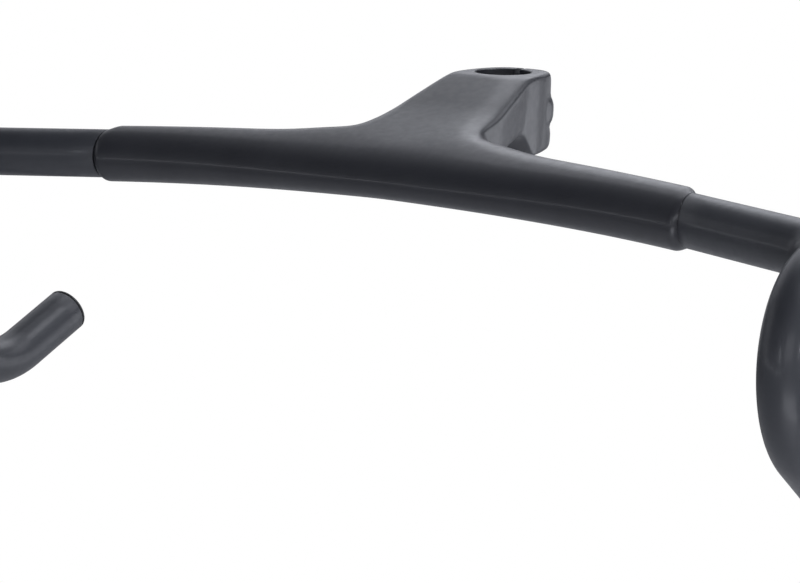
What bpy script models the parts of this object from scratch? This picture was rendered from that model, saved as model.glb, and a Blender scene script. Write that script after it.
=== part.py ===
"""Integrated drop handlebar and stem for a road bicycle.

Metres, +Z up along the steerer axis. The origin is on that axis, at the clamp's lower face.
-Y is forward, +X is the rider's left. Run with: blender --background --python part.py
"""
import math

import bmesh
import bpy
from mathutils import Matrix, Vector

COLLECTION = "integrated_handlebar_stem"
GAP = 0.0003                    # clearance between neighbouring pieces
MERGE = 0.00005                 # merge distance of the modifiers that weld points

# Steerer clamp
BORE_R = 0.0143                 # 28.6 mm (1-1/8 in) steerer
CLAMP_H = 0.0405
SLIT_W = 0.003
BORE_SIDES = 40
SLIT_Y = 0.008                  # the slit runs from here, inside the bore, out to the rear
TRIM_Y = -0.028                 # the clamp's end faces are cut flat behind this

# Pinch bolts: M5 x 18, axes along X behind the bore
BOLT_Y = 0.020
BOLT_Z = {"upper": 0.0198, "lower": 0.0058}
BOSS_HALF = {"upper": 0.0160, "lower": 0.0142}
BOSS_R = {"upper": 0.0062, "lower": 0.0058}
SEAT_X = 0.0085                 # depth of the washer's seat from the centre plane
HEAD_R = 0.00425
HEAD_H = 0.005
SHANK_R = 0.0024
SHANK_L = 0.018
WASHER_R = 0.0046
WASHER_T = 0.001
BOLT_CHAMFER = 0.0005
INSERT_R = 0.0040
INSERT_X = (0.0020, 0.0098)
HOLE_R = 0.0028
HEX_R = 0.0023                  # corner radius of a 4 mm hexagon socket
HEX_DEPTH = 0.0026

# Wing-shaped tops: centre line, sections and the collar at each end
COLLAR_X = 0.1593
COLLAR_Y = -0.1155
COLLAR_Z = -0.0017
CENTRE_Y = -0.1010
CENTRE_Z = 0.0045
SWEEP_POWER = 2.9
DROOP_POWER = 1.3
RING = 12
RING_SWELL = 1.047              # a 12-point cage ring shrinks by this when subdivided
CHORD = (0.0425, 0.0303)        # fore-aft size at the centre and at the collar
THICKNESS = (0.0234, 0.0249)
PITCH = (math.radians(20), math.radians(30))   # rear edge up
ROOT_X = 0.031                  # where the arm's side meets the tops
ROOT_SPREAD = 0.031
ROOT_FILLET = (0.0055, 0.0040)  # how far the rear edge moves back and up at the arm
PITCH_POWER = 1.8
SECTION_POWER = 2.2
TOPS_WALL = 0.0032
ARM_WALL = 0.0038
CHANNEL_Y = (-0.085, -0.022)    # the arm's hollow runs between these

# Drop tubes
TUBE_R = 0.0120
TUBE_WALL = 0.0018
SPIGOT_R = 0.0095
SPIGOT_L = 0.020
BOND_T = 0.0008
HOOD_X = 0.2370
FLARE = math.tan(math.radians(3.15))
HOOD = (-0.1452, -0.0037)       # (Y, Z) where the tops' line meets the ramp's
NOSE = (-0.2485, -0.0264)       # ramp's line meets the hook's
BELLY = (-0.1107, -0.1278)      # hook's line meets the grip's
TAIL = (-0.0510, -0.1040)       # open end of the drop
BEND_R = (0.0230, 0.0405, 0.0479)
BEND_STEP = math.radians(9)

# Bar-end plugs, measured along the drop's axis from its end face (+ is outwards)
FLANGE_T = 0.0026
PLUG_R = 0.0098
PLUG_L = 0.006
CONE_R = (0.0050, 0.0088)
CONE_S = (-0.0150, -0.0240)
SLEEVE_S = (-0.0063, -0.0180)
SCREW_R = 0.0024
SCREW_HEAD_R = 0.0043
SCREW_TIP = -0.0300
SCREW_HEX_R = 0.0017            # corner radius of a 3 mm hexagon socket
SCREW_HEX_DEPTH = 0.0018
PLUG_CHAMFER = 0.0008
SCREW_SEAT = -0.0008            # floor of the recess for the screw's head
HEAD_INSET = 0.0006             # how far the head sits below the cap's face
CONE_CLEAR = 1.6 * GAP

SUBDIVISIONS = 1


# ---------------------------------------------------------------- scene and materials

def clear_scene():
    for obj in list(bpy.data.objects):
        bpy.data.objects.remove(obj, do_unlink=True)


def new_collection(name):
    collection = bpy.data.collections.new(name)
    bpy.context.scene.collection.children.link(collection)
    return collection


def material(name, colour, roughness, metallic=0.0):
    mat = bpy.data.materials.new(name)
    mat.use_nodes = True
    shader = mat.node_tree.nodes["Principled BSDF"]
    shader.inputs["Base Color"].default_value = (*colour, 1.0)
    shader.inputs["Roughness"].default_value = roughness
    shader.inputs["Metallic"].default_value = metallic
    return mat


def smooth(mesh, degrees=35.0):
    mesh.shade_smooth()
    mesh.set_sharp_from_angle(angle=math.radians(degrees))


def place(name, mesh, where, mat=None):
    obj = bpy.data.objects.new(name, mesh)
    where.objects.link(obj)
    if mat is not None:
        mesh.materials.append(mat)
    return obj


def from_bmesh(name, bm, where, mat=None):
    mesh = bpy.data.meshes.new(name)
    bm.to_mesh(mesh)
    bm.free()
    smooth(mesh)
    return place(name, mesh, where, mat)


def as_cutter(obj):
    obj.hide_render = True
    obj.display_type = "WIRE"
    return obj


def boolean(obj, other, operation="DIFFERENCE"):
    mod = obj.modifiers.new(other.name, "BOOLEAN")
    mod.operation = operation
    mod.solver = "EXACT"
    mod.object = other


def axis_matrix(origin, direction):
    """A frame with its Z axis along direction."""
    turn = Vector((0, 0, 1)).rotation_difference(Vector(direction)).to_matrix().to_4x4()
    return Matrix.Translation(Vector(origin)) @ turn


# ---------------------------------------------------------------- simple solids

def rod(name, radius, start, end, where, sides=24, mat=None, bevel=0.0):
    """A cylinder between two points."""
    start, end = Vector(start), Vector(end)
    bm = bmesh.new()
    bmesh.ops.create_cone(bm, cap_ends=True, segments=sides, radius1=radius, radius2=radius,
                          depth=(end - start).length)
    if bevel:
        rims = [e for e in bm.edges if abs(e.verts[0].co.z - e.verts[1].co.z) < MERGE]
        bmesh.ops.bevel(bm, geom=rims, offset=bevel, segments=2, affect="EDGES", profile=0.5)
    bm.transform(axis_matrix((start + end) / 2, end - start))
    return from_bmesh(name, bm, where, mat)


def box(name, low, high, where):
    bm = bmesh.new()
    bmesh.ops.create_cube(bm, size=1.0)
    low, high = Vector(low), Vector(high)
    bm.transform(Matrix.Translation((low + high) / 2) @ Matrix.Diagonal((*(high - low), 1.0)))
    return from_bmesh(name, bm, where)


def turned(name, profile, origin, direction, where, mat, sides=16, closed=True):
    """A profile of (radius, height) turned about an axis by a Screw modifier.

    It is closed for a ring, and runs from the axis to the axis, from the top down its outer
    side, for a solid piece.
    """
    bm = bmesh.new()
    points = [bm.verts.new((radius, 0, height)) for radius, height in profile]
    for a, b in zip(points, points[1:] + points[:1] * closed):
        bm.edges.new((a, b))
    obj = from_bmesh(name, bm, where, mat)
    obj.matrix_world = axis_matrix(origin, direction)
    screw = obj.modifiers.new("turn", "SCREW")
    screw.axis = "Z"
    screw.steps = sides
    screw.render_steps = sides
    screw.use_merge_vertices = True
    screw.merge_threshold = MERGE
    screw.use_smooth_shade = False
    return obj


# ---------------------------------------------------------------- centre section's cage

def blend(pair, t):
    """From the first value to the second with flat ends."""
    t = min(max(t, 0.0), 1.0)
    return pair[0] + (pair[1] - pair[0]) * t * t * (3 - 2 * t)


def bar_centre(x):
    t = x / COLLAR_X
    y = CENTRE_Y + (COLLAR_Y - CENTRE_Y) * t ** SWEEP_POWER
    z = CENTRE_Z + (COLLAR_Z - CENTRE_Z) * t ** DROOP_POWER
    return Vector((x, y, z))


def collar_axis(side):
    """Direction of the tops' centre line at the collar, pointing outwards."""
    axis = (bar_centre(COLLAR_X) - bar_centre(COLLAR_X * 0.95)).normalized()
    return Vector((side * axis.x, axis.y, axis.z))


def wing_point(x, angle, shrink=0.0, swell=RING_SWELL):
    """A point of the wing section at x; angle 0 is the rear edge, 90 degrees the top."""
    t = x / COLLAR_X
    half_chord = (blend(CHORD, t) / 2 - shrink) * swell
    half_thick = (blend(THICKNESS, t) / 2 - shrink) * swell
    c, s = math.cos(angle), math.sin(angle)
    u = half_chord * math.copysign(abs(c) ** (2 / SECTION_POWER), c)
    w = half_thick * math.copysign(abs(s) ** (2 / SECTION_POWER), s)
    pitch = blend(PITCH, t ** PITCH_POWER)
    rear = u * math.cos(pitch) - w * math.sin(pitch)
    up = u * math.sin(pitch) + w * math.cos(pitch)
    root = max(0.0, 1 - ((x - ROOT_X) / ROOT_SPREAD) ** 2) * max(0.0, c)
    return bar_centre(x) + Vector((0, rear + ROOT_FILLET[0] * root, up + ROOT_FILLET[1] * root))


# Cage stations of the wing. The first three carry the arm.
WING_X = (0.0, 0.014, 0.031, 0.047, 0.068, 0.092, 0.116, 0.138, 0.152, 0.158, COLLAR_X)

# Arm and clamp sections: Y, half width, top Z, bottom Z, how far the lower edge sits back
ARM = (
    (-0.0600, 0.0302, 0.0254, 0.0030, 0.0),
    (-0.0470, 0.0284, 0.0299, 0.0062, 0.0),
    (-0.0340, 0.0263, 0.0343, 0.0092, 0.0),
    (-0.0240, 0.0247, 0.0376, 0.0112, 0.0),
    (-0.0180, 0.0235, 0.0396, 0.0112, 0.0),
    (-0.0120, 0.0227, 0.0412, -0.0010, 0.005),
    (-0.0040, 0.0220, 0.0415, -0.0015, 0.003),
    (0.0080, 0.0200, 0.0413, -0.0015, 0.0),
    (0.0190, 0.0166, 0.0404, -0.0015, 0.0),
    (0.0262, 0.0136, 0.0388, -0.0010, 0.0),
)
EDGE = 0.0045                   # distance of the cage's holding rows from the arm's corners
CROWN = 0.0012                  # how much the arm's top rises at its centre


def arm_ring(bm, y, half, top, bottom, back):
    """Nine points of half an arm section, from the top centre round to the bottom centre."""
    middle = (top + bottom) / 2
    points = (
        (0, y, top + CROWN),
        (half * 0.5, y, top + CROWN),
        (half, y, top),
        (half + 0.0005, y, top - EDGE),
        (half, y, middle),
        (half - 0.0003, y + back * 0.5, bottom + EDGE),
        (half - 0.0012, y + back, bottom),
        (half * 0.5, y + back * 0.2, bottom),
        (0, y, bottom),
    )
    return [bm.verts.new(p) for p in points]


def body_cage(name, where, mat):
    """Half of the centre section as a coarse cage, mirrored and subdivided."""
    bm = bmesh.new()
    step = 2 * math.pi / RING
    rings = [[bm.verts.new(wing_point(x, k * step)) for k in range(RING)] for x in WING_X]
    rear = {RING - 2, RING - 1, 0, 1}
    for i, (a, b) in enumerate(zip(rings, rings[1:])):
        for k in range(RING):
            if i < 2 and k in rear:
                continue
            n = (k + 1) % RING
            bm.faces.new((a[k], a[n], b[n], b[k]))
    inner = [bm.verts.new(v.co.lerp(bar_centre(COLLAR_X), 0.5)) for v in rings[-1]]
    for k in range(RING):
        n = (k + 1) % RING
        bm.faces.new((rings[-1][k], rings[-1][n], inner[n], inner[k]))
    bm.faces.new(inner)
    loop = [rings[0][2], rings[1][2], rings[2][2], rings[2][1], rings[2][0],
            rings[2][-1], rings[2][-2], rings[1][-2], rings[0][-2]]
    for section in ARM:
        ring = arm_ring(bm, *section)
        for a, b, c, d in zip(loop, loop[1:], ring[1:], ring):
            bm.faces.new((a, b, c, d))
        loop = ring
    rows = [loop[0:3]]
    for k in (3, 4, 5):
        edge = loop[k].co
        rows.append([bm.verts.new((edge.x * share, edge.y + 0.0008, edge.z)) for share in (0, 0.5)]
                    + [loop[k]])
    rows.append([loop[8], loop[7], loop[6]])
    for upper, lower in zip(rows, rows[1:]):
        for k in range(2):
            bm.faces.new((upper[k], upper[k + 1], lower[k + 1], lower[k]))
    bmesh.ops.recalc_face_normals(bm, faces=bm.faces)
    obj = from_bmesh(name, bm, where, mat)
    mirror = obj.modifiers.new("mirror", "MIRROR")
    mirror.use_axis = (True, False, False)
    mirror.use_clip = True
    mirror.merge_threshold = MERGE
    subdivide = obj.modifiers.new("round", "SUBSURF")
    subdivide.levels = SUBDIVISIONS
    subdivide.render_levels = SUBDIVISIONS
    return obj


# ---------------------------------------------------------------- drop tube's line

def hood_line_x(z):
    """X of the drop's plane at height z: it leans out downwards by the flare."""
    return HOOD_X + FLARE * (HOOD[1] - z)


def drop_corners(side):
    """Corner points of the drop's line, from the collar's face to the open end."""
    corners = [Vector((COLLAR_X, COLLAR_Y, COLLAR_Z))]
    corners += [Vector((hood_line_x(z), y, z)) for y, z in (HOOD, NOSE, BELLY, TAIL)]
    return [Vector((side * p.x, p.y, p.z)) for p in corners]


def rounded_line(corners, radii):
    """The corners' line with each inner corner replaced by an arc."""
    line = [corners[0]]
    for before, corner, after, radius in zip(corners, corners[1:], corners[2:], radii):
        u = (before - corner).normalized()
        v = (after - corner).normalized()
        half = u.angle(v) / 2
        centre = corner + (u + v).normalized() * (radius / math.sin(half))
        start = corner + u * (radius / math.tan(half)) - centre
        axis = start.cross(v - u).normalized()
        sweep = math.pi - 2 * half
        count = max(2, math.ceil(sweep / BEND_STEP))
        for k in range(count + 1):
            line.append(centre + Matrix.Rotation(sweep * k / count, 3, axis) @ start)
    line.append(corners[-1])
    return line


def tube(name, line, radii, where, sides=16):
    """A capped tube along a line of points, each with its own radius."""
    curve = bpy.data.curves.new(name, "CURVE")
    curve.dimensions = "3D"
    curve.bevel_depth = 1.0
    curve.bevel_resolution = sides // 2 - 2
    curve.use_fill_caps = True
    spline = curve.splines.new("POLY")
    spline.points.add(len(line) - 1)
    for point, co, radius in zip(spline.points, line, radii):
        point.co = (*co, 1.0)
        point.radius = radius
    guide = bpy.data.objects.new(name + "_line", curve)
    where.objects.link(guide)
    bpy.context.view_layer.update()
    mesh = bpy.data.meshes.new_from_object(guide.evaluated_get(bpy.context.evaluated_depsgraph_get()))
    matrix = guide.matrix_world.copy()
    bpy.data.objects.remove(guide, do_unlink=True)
    bm = bmesh.new()
    bm.from_mesh(mesh)
    bpy.data.meshes.remove(mesh)
    bmesh.ops.remove_doubles(bm, verts=bm.verts, dist=MERGE)
    bmesh.ops.recalc_face_normals(bm, faces=bm.faces)
    obj = from_bmesh(name, bm, where)
    obj.matrix_world = matrix
    return obj


# ---------------------------------------------------------------- pieces

def make_center_section(parts, cutters, mats):
    body = body_cage("center_section", parts, mats["carbon"])
    for level in BOLT_Z:
        boss = rod(f"{level}_boss", BOSS_R[level], (-BOSS_HALF[level], BOLT_Y, BOLT_Z[level]),
                   (BOSS_HALF[level], BOLT_Y, BOLT_Z[level]), cutters, bevel=0.002)
        boolean(body, as_cutter(boss), "UNION")
    reach = 0.06
    trims = (
        ("top_trim", (-reach, TRIM_Y, CLAMP_H), (reach, reach, reach)),
        ("bottom_trim", (-reach, TRIM_Y, -reach), (reach, reach, 0.0)),
        ("slit", (-SLIT_W / 2, SLIT_Y, -reach), (SLIT_W / 2, reach, reach)),
    )
    for name, low, high in trims:
        boolean(body, as_cutter(box(name, low, high, cutters)))
    bore = rod("bore", BORE_R, (0, 0, -0.02), (0, 0, 0.06), cutters, sides=BORE_SIDES)
    boolean(body, as_cutter(bore))
    boolean(body, as_cutter(make_cavity(cutters)))
    boolean(body, as_cutter(make_arm_channel(cutters)))
    for side in (-1, 1):
        start, axis = drop_corners(side)[0], collar_axis(side)
        socket = rod(f"socket_{side}", SPIGOT_R + 2 * GAP + BOND_T, start - axis * (SPIGOT_L + 0.001),
                     start + axis * 0.01, cutters, sides=28)
        boolean(body, as_cutter(socket))
    for level in BOLT_Z:
        y, z = BOLT_Y, BOLT_Z[level]
        holes = (
            ("counterbore", WASHER_R + GAP, (-0.03, y, z), (-SEAT_X, y, z)),
            ("clearance", HOLE_R, (-0.02, y, z), (0.0105, y, z)),
            ("insert_seat", INSERT_R + GAP, (0, y, z), (INSERT_X[1] + GAP, y, z)),
        )
        for name, radius, start, end in holes:
            boolean(body, as_cutter(rod(f"{level}_{name}", radius, start, end, cutters)))
    return body


def make_cavity(cutters):
    """The hollow of the tops, from socket to socket."""
    bm = bmesh.new()
    last = COLLAR_X - SPIGOT_L + 0.002
    xs = [x for x in WING_X if x < last] + [last]
    stations = [-x for x in reversed(xs) if x > 0] + xs
    rings = []
    for x in stations:
        ring = []
        for k in range(RING):
            p = wing_point(abs(x), 2 * math.pi * k / RING, shrink=TOPS_WALL, swell=1.0)
            ring.append(bm.verts.new((math.copysign(p.x, x) if x else 0.0, p.y, p.z)))
        rings.append(ring)
    for a, b in zip(rings, rings[1:]):
        for k in range(RING):
            n = (k + 1) % RING
            bm.faces.new((a[k], a[n], b[n], b[k]))
    bm.faces.new(rings[0])
    bm.faces.new(rings[-1])
    bmesh.ops.recalc_face_normals(bm, faces=bm.faces)
    return from_bmesh("tops_cavity", bm, cutters)


def make_arm_channel(cutters):
    """The hollow of the arm, from the tops' cavity to just ahead of the bore."""
    sections = [s for s in ARM if s[0] < CHANNEL_Y[1]]
    bm = bmesh.new()
    loops = []
    for y, half, top, bottom, _ in [(CHANNEL_Y[0], *sections[0][1:])] + sections:
        low, high = bottom + ARM_WALL, top - ARM_WALL
        inside = half - ARM_WALL
        corners = ((inside, low), (inside, high), (-inside, high), (-inside, low))
        loops.append([bm.verts.new((x, y, z)) for x, z in corners])
    for v in loops[0]:
        v.co.z = CENTRE_Z + (v.co.z - CENTRE_Z) * 0.6
    for a, b in zip(loops, loops[1:]):
        for k in range(4):
            n = (k + 1) % 4
            bm.faces.new((a[k], a[n], b[n], b[k]))
    bm.faces.new(loops[0])
    bm.faces.new(loops[-1])
    bmesh.ops.recalc_face_normals(bm, faces=bm.faces)
    return from_bmesh("arm_channel", bm, cutters)


def make_drop(side_name, side, parts, cutters, mats):
    """A hollow tube that starts flat at the collar's face, with a spigot for the socket."""
    line = rounded_line(drop_corners(side), BEND_R)
    out = (line[1] - line[0]).normalized()
    end = (line[-1] - line[-2]).normalized()
    outer_line = [line[0] - out * TUBE_R] + line[1:]
    drop = tube(f"{side_name}_drop", outer_line, [TUBE_R] * len(outer_line), parts)
    drop.data.materials.append(mats["carbon_gloss"])
    face = COLLAR_X + GAP
    xs = sorted((side * face, side * (face - 0.05)))
    trim = box(f"{side_name}_face_trim", (xs[0], -0.2, -0.05), (xs[1], 0.0, 0.05), cutters)
    boolean(drop, as_cutter(trim))
    axis = collar_axis(side)
    spigot = rod(f"{side_name}_spigot", SPIGOT_R, line[0] - axis * SPIGOT_L, line[0] + axis * 0.006,
                 cutters, sides=20)
    boolean(drop, as_cutter(spigot), "UNION")
    wide, narrow = TUBE_R - TUBE_WALL, SPIGOT_R - TUBE_WALL
    inner_line = [line[0] - axis * (SPIGOT_L + 0.002), line[0] + axis * 0.003, line[0] + out * 0.010]
    inner_line += line[1:-1] + [line[-1] + end * 0.002]
    inner_radii = [narrow, narrow] + [wide] * (len(inner_line) - 2)
    hollow = tube(f"{side_name}_hollow", inner_line, inner_radii, cutters)
    boolean(drop, as_cutter(hollow))
    return line[-1], end


def make_bond(side_name, side, parts, mats):
    """The adhesive sleeve between spigot and socket."""
    axis = collar_axis(side)
    inner = SPIGOT_R + GAP
    outer = inner + BOND_T
    setback = outer * abs(axis.y / axis.x) + GAP
    top, bottom = -setback, 0.001 - SPIGOT_L
    profile = [(inner, top), (outer, top), (outer, bottom), (inner, bottom)]
    turned(f"{side_name}_bond_sleeve", profile, drop_corners(side)[0], axis, parts,
           mats["adhesive"], 28)


def make_clamp_hardware(level, parts, cutters, mats):
    y, z = BOLT_Y, BOLT_Z[level]
    washer_x = -SEAT_X - GAP
    head_x = washer_x - WASHER_T - GAP
    hole = SHANK_R + GAP
    turned(f"{level}_clamp_washer",
           [(hole, 0), (hole, -WASHER_T), (WASHER_R, -WASHER_T), (WASHER_R, 0)][::-1],
           (washer_x, y, z), (1, 0, 0), parts, mats["steel"])
    turned(f"{level}_clamp_insert",
           [(hole, 0), (INSERT_R, 0), (INSERT_R, INSERT_X[0] - INSERT_X[1]),
            (hole, INSERT_X[0] - INSERT_X[1])],
           (INSERT_X[1], y, z), (1, 0, 0), parts, mats["brass"])
    chamfer = BOLT_CHAMFER
    bolt = turned(f"{level}_clamp_bolt",
                  [(0, HEAD_H), (HEAD_R - chamfer, HEAD_H), (HEAD_R, HEAD_H - chamfer),
                   (HEAD_R, 0), (SHANK_R, 0), (SHANK_R, chamfer - SHANK_L),
                   (SHANK_R - chamfer, -SHANK_L), (0, -SHANK_L)],
                  (head_x, y, z), (-1, 0, 0), parts, mats["black_steel"], closed=False)
    face = head_x - HEAD_H
    hexagon = rod(f"{level}_bolt_hexagon", HEX_R, (face - 0.001, y, z), (face + HEX_DEPTH, y, z),
                  cutters, sides=6)
    boolean(bolt, as_cutter(hexagon))


def make_plug(side_name, end, axis, parts, cutters, mats):
    """Cap, rubber expander, cone nut and screw in one bar end."""
    bore = SCREW_R + GAP
    recess = SCREW_HEAD_R + GAP
    chamfer = PLUG_CHAMFER
    turned(f"{side_name}_plug_cap",
           [(recess, FLANGE_T), (TUBE_R - chamfer, FLANGE_T), (TUBE_R, FLANGE_T - chamfer),
            (TUBE_R, GAP), (PLUG_R, GAP), (PLUG_R, -PLUG_L), (bore, -PLUG_L), (bore, SCREW_SEAT),
            (recess, SCREW_SEAT)], end, axis, parts, mats["plastic"])
    front, back = SLEEVE_S

    def cone_radius(s):
        t = (s - CONE_S[0]) / (CONE_S[1] - CONE_S[0])
        return CONE_R[0] + (CONE_R[1] - CONE_R[0]) * t

    mouth = CONE_S[0] + CONE_CLEAR
    turned(f"{side_name}_plug_expander",
           [(bore, front), (PLUG_R, front), (PLUG_R, back), (cone_radius(back) + CONE_CLEAR, back),
            (cone_radius(CONE_S[0]) + CONE_CLEAR, mouth), (bore, mouth)],
           end, axis, parts, mats["rubber"])
    turned(f"{side_name}_plug_wedge_nut",
           [(bore, CONE_S[0]), (CONE_R[0], CONE_S[0]), (CONE_R[1], CONE_S[1]), (bore, CONE_S[1])],
           end, axis, parts, mats["brass"])
    head = SCREW_SEAT + GAP
    top = FLANGE_T - HEAD_INSET
    screw = turned(f"{side_name}_plug_screw",
                   [(0, top), (SCREW_HEAD_R - chamfer, top), (SCREW_HEAD_R, top - chamfer),
                    (SCREW_HEAD_R, head), (SCREW_R, head), (SCREW_R, SCREW_TIP + chamfer),
                    (SCREW_R - chamfer, SCREW_TIP), (0, SCREW_TIP)],
                   end, axis, parts, mats["black_steel"], closed=False)
    hexagon = rod(f"{side_name}_screw_hexagon", SCREW_HEX_R, end + axis * (top - SCREW_HEX_DEPTH),
                  end + axis * (top + 0.001), cutters, sides=6)
    boolean(screw, as_cutter(hexagon))


def main():
    clear_scene()
    parts = new_collection(COLLECTION)
    cutters = new_collection("cutters")
    mats = {
        "carbon": material("matte_carbon", (0.022, 0.024, 0.027), 0.48),
        "carbon_gloss": material("satin_carbon", (0.020, 0.023, 0.028), 0.30),
        "adhesive": material("adhesive", (0.008, 0.008, 0.009), 0.6),
        "steel": material("steel", (0.55, 0.55, 0.56), 0.35, 1.0),
        "black_steel": material("black_steel", (0.03, 0.03, 0.032), 0.4, 0.9),
        "brass": material("brass", (0.65, 0.48, 0.2), 0.35, 1.0),
        "plastic": material("plug_plastic", (0.015, 0.015, 0.016), 0.5),
        "rubber": material("rubber", (0.012, 0.012, 0.012), 0.8),
    }
    make_center_section(parts, cutters, mats)
    for side_name, side in (("left", 1), ("right", -1)):
        end, axis = make_drop(side_name, side, parts, cutters, mats)
        make_bond(side_name, side, parts, mats)
        make_plug(side_name, end, axis, parts, cutters, mats)
    for level in BOLT_Z:
        make_clamp_hardware(level, parts, cutters, mats)
    bpy.context.view_layer.update()


main()
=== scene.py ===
"""Looks of the integrated drop handlebar and stem: fine surfaces, finishes, studio and camera.

Metres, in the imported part's frame: +Z up the steerer axis, -Y forward, +X the rider's left.
"""

import math

import bmesh
import bpy
import numpy as np
from mathutils import Matrix, Vector


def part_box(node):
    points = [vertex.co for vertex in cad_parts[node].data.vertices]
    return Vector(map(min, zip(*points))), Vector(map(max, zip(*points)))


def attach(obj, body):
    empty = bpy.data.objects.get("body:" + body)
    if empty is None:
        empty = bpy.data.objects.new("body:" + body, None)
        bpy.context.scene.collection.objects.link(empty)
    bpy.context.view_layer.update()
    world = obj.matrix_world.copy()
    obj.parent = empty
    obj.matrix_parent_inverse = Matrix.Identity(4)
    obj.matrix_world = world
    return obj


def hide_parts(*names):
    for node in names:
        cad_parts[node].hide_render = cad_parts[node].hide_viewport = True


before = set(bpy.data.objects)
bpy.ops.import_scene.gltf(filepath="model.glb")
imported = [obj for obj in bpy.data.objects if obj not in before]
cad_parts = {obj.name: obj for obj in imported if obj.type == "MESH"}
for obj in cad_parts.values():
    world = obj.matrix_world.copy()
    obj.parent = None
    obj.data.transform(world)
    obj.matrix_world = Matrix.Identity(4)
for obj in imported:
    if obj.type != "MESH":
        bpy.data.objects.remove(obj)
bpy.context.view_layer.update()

# ---------------------------------------------------------------- sizes read from the frame
BODY_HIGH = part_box("center_section")[1]
COLLAR_X = BODY_HIGH.x                          # outer face of each collar
CLAMP_H = BODY_HIGH.z
GAP = 0.0003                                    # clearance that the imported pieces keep
MERGE = 0.00002                                 # vertices nearer than this are one


def centre_of(node):
    low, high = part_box(node)
    return (low + high) / 2


def radius_of(node):
    """Radius of a round piece that lies along X."""
    low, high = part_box(node)
    return (high.z - low.z) / 2


BOLT_Y = centre_of("upper_clamp_washer").y
BOLT_Z = {level: centre_of(f"{level}_clamp_washer").z for level in ("upper", "lower")}
WASHER_R = radius_of("upper_clamp_washer")
HEAD_R = radius_of("upper_clamp_bolt")
INSERT_R = radius_of("upper_clamp_insert")
INSERT_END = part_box("upper_clamp_insert")[1].x  # blind end of the inserts
SEAT_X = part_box("upper_clamp_washer")[1].x + GAP    # the face that a washer sits on

# Steerer clamp
BORE_R = 0.0143
BORE_CHAMFER = 0.0005
SLIT_W = 0.003
SLIT_Y = 0.008                                  # where the slit begins, inside the bore
HEAD_H = 0.005                                  # height of a pinch bolt's head
SHANK_R = 0.0025
THREAD_DEPTH = 0.0004
THREAD_PITCH = 0.0008
HOLE_R = 0.0028
HOLE_END = 0.0105                               # X at which a bolt's clearance hole ends

# Wing-shaped tops. A pair is the value at the middle of the bar and at a collar.
COLLAR_Y = -0.1155
COLLAR_Z = -0.0017
CENTRE_Y = -0.1010
CENTRE_Z = 0.0045
SWEEP_POWER = 2.9
DROOP_POWER = 1.3
RING = 12                                       # cage points round a wing section
RING_SWELL = 1.047                              # makes up for the shrinkage of the subdivided cage
CHORD = (0.0425, 0.0303)
THICKNESS = (0.0234, 0.0249)
PITCH = (math.radians(20), math.radians(30))
PITCH_POWER = 1.8
ROOT_X = 0.031                                  # where the arm's edge runs into the wing
ROOT_SPREAD = 0.031
ROOT_FILLET = (0.0055, 0.0040)                  # rearwards and upwards
SECTION_POWER = 2.2
TOPS_WALL = 0.0032
CAVITY_OVERLAP = 0.002                          # how far the hollow runs into each socket
WING_X = (0.0, 0.014, 0.031, 0.047, 0.068, 0.092, 0.116, 0.138, 0.152, 0.158, COLLAR_X)

# Arm and clamp sections: Y, half width, top Z, bottom Z, how far the lower edge sits back
ARM = (
    (-0.0600, 0.0302, 0.0254, 0.0030, 0.0),
    (-0.0470, 0.0284, 0.0299, 0.0062, 0.0),
    (-0.0340, 0.0263, 0.0343, 0.0092, 0.0),
    (-0.0240, 0.0247, 0.0376, 0.0112, 0.0),
    (-0.0180, 0.0235, 0.0396, 0.0112, 0.0),
    (-0.0120, 0.0227, 0.0412, -0.0010, 0.005),
    (-0.0040, 0.0220, 0.0415, -0.0015, 0.003),
    (0.0080, 0.0200, 0.0413, -0.0015, 0.0),
    (0.0190, 0.0166, 0.0404, -0.0015, 0.0),
    (0.0262, 0.0136, 0.0388, -0.0010, 0.0),
)
EDGE = 0.0045                                   # height of the rows that hold the arm's edges
CROWN = 0.0012                                  # rise of the arm's top towards its middle
ARM_SIDE = (0.0005, -0.0003, -0.0012)           # past the half width: below the top, above the foot, foot
REAR_BULGE = 0.0008                             # how far the closed rear stands behind the last section
BODY_LEVELS = 3
BOSS_SWELL = {"upper": (0.0019, 0.0062), "lower": (0.0008, 0.0050)}    # height, half length
BOSS_SIDE = (0.004, 0.006)                      # the swell starts this far from the slit, and its ramp
BOSS_REAR = (0.010, 0.010)                      # the same along Y
BOSS_PUSH = (0.95, 0.30)                        # shares of the swell sideways and rearwards
FLAT_SOFTNESS = 0.0006                          # rounding where the clamp's end faces begin
TOP_FACE_Y = -0.030                             # the flat end faces lie behind these
BOTTOM_FACE_Y = -0.016
COLLAR_ROLL = 0.0050                            # length over which a collar rolls down to its tube
COLLAR_ROLL_POWER = 1.3

# Drop tubes
TUBE_R = 0.0120
TUBE_WALL = 0.0018
SPIGOT_R = 0.0095                               # the necked end that is bonded into the collar
SPIGOT_L = 0.020
NECK = (0.010, 0.003)                           # the bore narrows from here outside the collar to here
BOND_T = 0.0008
HOOD_X = 0.2370
FLARE = math.tan(math.radians(3.15))            # how the drops lean outwards
HOOD = (-0.1452, -0.0037)                       # corners of the drop's line as Y, Z
NOSE = (-0.2485, -0.0264)
BELLY = (-0.1107, -0.1278)
TAIL = (-0.0510, -0.1040)
BEND_R = (0.0230, 0.0405, 0.0479)
BEND_STEP = math.radians(2.5)
STRAIGHT_SHARES = (0.25, 0.5, 0.75)             # where the straight ends carry a ring
RIM_R = 0.0006
TUBE_SIDES = 72

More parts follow.
